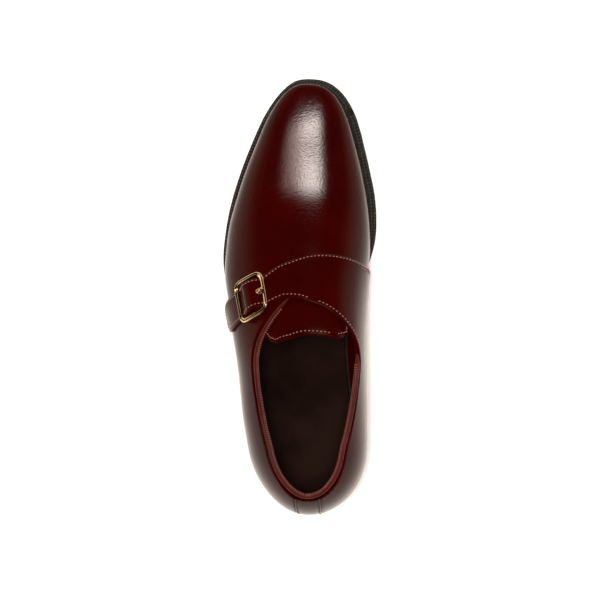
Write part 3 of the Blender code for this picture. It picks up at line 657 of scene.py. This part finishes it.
bindingSeam = {
    # the middle of the rolled edge, from under the strap round the back
    "line": [
        (-0.0088, -0.0072, 0.0838), (-0.0172, -0.0179, 0.0834), (-0.0231, -0.0285, 0.0810),
        (-0.0261, -0.0392, 0.0787), (-0.0262, -0.0499, 0.0786), (-0.0253, -0.0606, 0.0794),
        (-0.0235, -0.0713, 0.0808), (-0.0216, -0.0820, 0.0825), (-0.0192, -0.0927, 0.0857),
        (-0.0160, -0.1033, 0.0902), (-0.0139, -0.1109, 0.0927), (-0.0110, -0.1175, 0.0944),
        (-0.0072, -0.1235, 0.0952), (-0.0025, -0.1288, 0.0948), (0.0032, -0.1327, 0.0939),
        (0.0098, -0.1341, 0.0930), (0.0166, -0.1319, 0.0934), (0.0222, -0.1273, 0.0942),
        (0.0264, -0.1214, 0.0945), (0.0293, -0.1148, 0.0940), (0.0313, -0.1078, 0.0928),
        (0.0330, -0.0984, 0.0909), (0.0357, -0.0877, 0.0884), (0.0378, -0.0770, 0.0863),
        (0.0395, -0.0663, 0.0841), (0.0408, -0.0556, 0.0812), (0.0416, -0.0449, 0.0782),
    ],
    "rows": [-0.0008, 0.0008],
    "above": 0.002,
    "stitch": {"pitch": 0.0017, "share": 0.55, "width": 0.00062, "height": 0.00045, "lift": 0.60,
               "slant": 0.60},
}


def bindingStitches():
    tree = surfaceTree(binding["thing"])
    bm = bmesh.new()
    line = [(Vector(point), Vector((0.0, 0.0, 1.0))) for point in bindingSeam["line"]]
    points = [point for point, way in resampled(line, bindingSeam["stitch"]["pitch"])]
    for before, here, after in zip(points, points[1:], points[2:]):
        tangent = (after - before).normalized()
        out = outwards(here)
        out = (out - tangent * out.dot(tangent)).normalized()
        up = tangent.cross(out)
        if up.z < 0.0:
            up = -up
        for offset in bindingSeam["rows"]:
            spot, normal = tree.find_nearest(here + up * bindingSeam["above"] + out * offset)[:2]
            addStitch(bm, spot, normal, tangent, bindingSeam["stitch"])
    return threadPiece("bindingStitches", bm, bindingThread)


bindingStitches()

print("bottom")
weltPiece = refined("welt", upwards, [weltFinish, soleEdge, soleEdge])
weltRow = {
    "pitch": 0.0024,
    "insets": [0.0013, 0.0032],
    "share": 0.72,
    "width": 0.00095,
    "height": 0.00034,
    "lift": 0.3,
    "slant": 0.50,
    "reach": 0.0012,
}
stitchRow("weltStitches", weltPiece, weltRow, weltThread, everywhere)
# the sole's top inside the shoe takes the dark lining, partly painted shade
refined("outsole", upwards, [liningCalf, oakFinish, soleEdge])
refined("heel_stack", upwards, [soleEdge] * 3)
refined("heel_top_piece", upwards, [rubberFinish] * 3)
refined("insole", upwards, [liningCalf] * 3)

print("buckle")
buckle = {
    "halfWidth": 0.00155,
    "halfHeight": 0.00120,
    "centreBar": 0.00065,
    "tarnish": {4: 0.7, 5: 1.0, 6: 0.7},  # painted shade: how dark the points of the groove between the beads are
    # across and up, from the inner side over the two beads to the outer side and back under
    "beaded": [(-1.0, 0.0), (-0.93, 0.45), (-0.72, 0.78), (-0.47, 0.80), (-0.25, 0.25), (-0.06, -0.15),
               (0.12, 0.25), (0.34, 0.90), (0.62, 1.0), (0.88, 0.66), (1.0, 0.0), (0.86, -0.68),
               (0.45, -0.95), (0.0, -1.0), (-0.45, -0.95), (-0.86, -0.68)],
    "bevelled": [(-1.0, -0.1), (-0.95, 0.12), (-0.80, 0.34), (-0.50, 0.62), (-0.20, 0.84), (0.05, 0.96),
                 (0.30, 1.0), (0.55, 0.96), (0.78, 0.74), (0.94, 0.36), (1.0, 0.0), (0.86, -0.68),
                 (0.45, -0.95), (0.0, -1.0), (-0.45, -0.95), (-0.86, -0.68)],
    # place, the way up from the foot, and how far the section is beaded
    "wire": [
        (-0.03639, -0.01510, 0.07207, -0.764, 0.105, 0.637, 1.0),
        (-0.03588, -0.01635, 0.07289, -0.763, 0.103, 0.638, 1.0),
        (-0.03503, -0.01713, 0.07402, -0.755, 0.109, 0.647, 1.0),
        (-0.03395, -0.01732, 0.07528, -0.741, 0.122, 0.661, 1.0),
        (-0.03280, -0.01689, 0.07646, -0.723, 0.139, 0.677, 1.0),
        (-0.03042, -0.01544, 0.07854, -0.682, 0.178, 0.709, 1.0),
        (-0.02792, -0.01399, 0.08043, -0.641, 0.215, 0.736, 1.0),
        (-0.02530, -0.01255, 0.08215, -0.600, 0.251, 0.760, 1.0),
        (-0.02260, -0.01112, 0.08369, -0.558, 0.284, 0.780, 1.0),
        (-0.02132, -0.01016, 0.08422, -0.537, 0.300, 0.789, 1.0),
        (-0.02032, -0.00881, 0.08436, -0.518, 0.313, 0.796, 1.0),
        (-0.01976, -0.00727, 0.08411, -0.503, 0.322, 0.802, 0.5),
        (-0.01974, -0.00577, 0.08352, -0.496, 0.325, 0.805, 0.0),
        (-0.02053, -0.00140, 0.08130, -0.487, 0.316, 0.814, 0.0),
        (-0.02132, 0.00297, 0.07920, -0.481, 0.307, 0.821, 0.0),
        (-0.02228, 0.00745, 0.07692, -0.472, 0.320, 0.821, 0.0),
        (-0.02333, 0.01188, 0.07460, -0.467, 0.322, 0.824, 0.0),
        (-0.02391, 0.01310, 0.07379, -0.470, 0.318, 0.823, 0.1),
        (-0.02495, 0.01387, 0.07289, -0.480, 0.312, 0.820, 0.2),
        (-0.02629, 0.01409, 0.07201, -0.495, 0.304, 0.814, 0.3),
        (-0.02772, 0.01371, 0.07126, -0.514, 0.295, 0.805, 0.3),
        (-0.03053, 0.01235, 0.06987, -0.553, 0.276, 0.786, 0.3),
        (-0.03322, 0.01097, 0.06834, -0.594, 0.252, 0.764, 0.3),
        (-0.03579, 0.00957, 0.06669, -0.635, 0.225, 0.739, 0.3),
        (-0.03823, 0.00816, 0.06489, -0.676, 0.195, 0.711, 0.3),
        (-0.03929, 0.00720, 0.06412, -0.696, 0.179, 0.695, 0.5),
        (-0.04003, 0.00583, 0.06370, -0.714, 0.162, 0.681, 0.8),
        (-0.04036, 0.00427, 0.06371, -0.726, 0.149, 0.671, 1.0),
        (-0.04026, 0.00275, 0.06415, -0.732, 0.142, 0.667, 1.0),
        (-0.03935, -0.00169, 0.06607, -0.737, 0.137, 0.662, 1.0),
        (-0.03840, -0.00613, 0.06805, -0.745, 0.132, 0.654, 1.0),
        (-0.03740, -0.01060, 0.07008, -0.754, 0.121, 0.646, 1.0),
    ],
    "bar": [(-0.03277, 0.01078, 0.06777), (-0.03127, 0.00453, 0.07096), (-0.03000, -0.00168, 0.07386),
            (-0.02873, -0.00787, 0.07686), (-0.02744, -0.01415, 0.07988)],
}


def sweptRing(bm, centre, side, up, section):
    # one closed section of a wire, its points given across and up
    made = bmesh.ops.create_circle(bm, cap_ends=False, segments=len(section), radius=1.0)
    for vertex, (across, rise) in zip(made["verts"], section):
        vertex.co = centre + side * across + up * rise
    return list(dict.fromkeys(edge for vertex in made["verts"] for edge in vertex.link_edges))


def joinRings(bm, rings, closed):
    following = rings[1:] + rings[:1] if closed else rings[1:]
    for first, second in zip(rings, following):
        bmesh.ops.bridge_loops(bm, edges=first + second)


def sweptFrame():
    bm = bmesh.new()
    rows = buckle["wire"]
    middle = sum((Vector(row[:3]) for row in rows), Vector()) / len(rows)
    rings = []
    dark = []
    for at, row in enumerate(rows):
        centre = Vector(row[:3])
        tangent = (Vector(rows[(at + 1) % len(rows)][:3]) - Vector(rows[at - 1][:3])).normalized()
        up = Vector(row[3:6]).normalized()
        side = tangent.cross(up).normalized()
        if side.dot(centre - middle) < 0.0:
            side = -side
        up = side.cross(tangent) * (1.0 if side.cross(tangent).dot(up) > 0.0 else -1.0)
        section = [(a[0] * row[6] + b[0] * (1 - row[6]), a[1] * row[6] + b[1] * (1 - row[6]))
                   for a, b in zip(buckle["beaded"], buckle["bevelled"])]
        rings.append(sweptRing(bm, centre, side * buckle["halfWidth"], up * buckle["halfHeight"], section))
        # painted shade along the groove, as far as the section is beaded
        dark += [buckle["tarnish"].get(k, 0.0) * row[6] for k in range(len(section))]
    joinRings(bm, rings, True)
    circle = [(math.cos(math.tau * k / 8), math.sin(math.tau * k / 8)) for k in range(8)]
    points = [Vector(point) for point in buckle["bar"]]
    barRings = []
    for at, centre in enumerate(points):
        tangent = (points[min(at + 1, len(points) - 1)] - points[max(at - 1, 0)]).normalized()
        side = tangent.cross(Vector((-0.7, 0.2, 0.7))).normalized() * buckle["centreBar"]
        up = side.cross(tangent)
        barRings.append(sweptRing(bm, centre, side, up, circle))
    joinRings(bm, barRings, False)
    for ring in (barRings[0], barRings[-1]):
        bmesh.ops.edgeloop_fill(bm, edges=ring)
    bmesh.ops.recalc_face_normals(bm, faces=bm.faces)
    for face in bm.faces:
        face.smooth = True
    mesh = bpy.data.meshes.new("buckleFrame")
    bm.to_mesh(mesh)
    bm.free()
    paintedGrooveShadeShown = mesh.attributes.new("tarnish", "FLOAT", "POINT")
    for item, value in zip(paintedGrooveShadeShown.data, dark):
        item.value = value
    mesh.materials.append(brassFinish)
    thing = linked("buckleFrame", mesh)
    rounding = thing.modifiers.new("rounding", "SUBSURF")
    rounding.levels = 2
    rounding.render_levels = 2
    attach(thing, "root")
    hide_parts("buckle_frame")
    return thing


sweptFrame()
bucklePin = refined("buckle_prong", outwards, [brassFinish] * 3, limit=70.0)
pinShape = {
    "swellAt": (-0.0230, 0.0036, 0.0832),
    "swellReach": 0.0055,
    "swell": 0.0013,
    "dipFrom": -0.0248,
    "dip": 1.3,
}
for vertex in bucklePin["thing"].data.vertices:
    away = (vertex.co - Vector(pinShape["swellAt"])).length
    vertex.co += vertex.normal * pinShape["swell"] * min(1.0, max(0.0, 1.0 - away / pinShape["swellReach"]))
    # the pin comes up out of the strap's hole
    vertex.co.z -= max(0.0, pinShape["dipFrom"] - vertex.co.x) * pinShape["dip"]

eyelet = {"place": (-0.0244, 0.0022), "radius": 0.0018, "wire": 0.00050}


def eyeletRing():
    # a small ring round the strap's hole, spun about the leather's normal
    above = Vector((*eyelet["place"], 0.2))
    spot, normal = surfaceTree(monkStrap["thing"]).ray_cast(above, Vector((0.0, 0.0, -1.0)))[:2]
    side = normal.cross(Vector((0.0, 1.0, 0.0))).normalized()
    axes = Matrix((side, normal, side.cross(normal))).transposed().to_4x4()
    bm = bmesh.new()
    start = Matrix.Translation(spot + side * eyelet["radius"] + normal * eyelet["wire"] * 0.4) @ axes
    made = bmesh.ops.create_circle(bm, cap_ends=False, segments=8, radius=eyelet["wire"], matrix=start)
    ring = made["verts"] + list(dict.fromkeys(e for v in made["verts"] for e in v.link_edges))
    bmesh.ops.spin(bm, geom=ring, cent=spot, axis=normal, angle=math.tau, steps=24, use_merge=True)
    return threadPiece("strapEyelet", bm, brassFinish)


eyeletRing()
refined("buckle_tab", outwards, leatherSet)
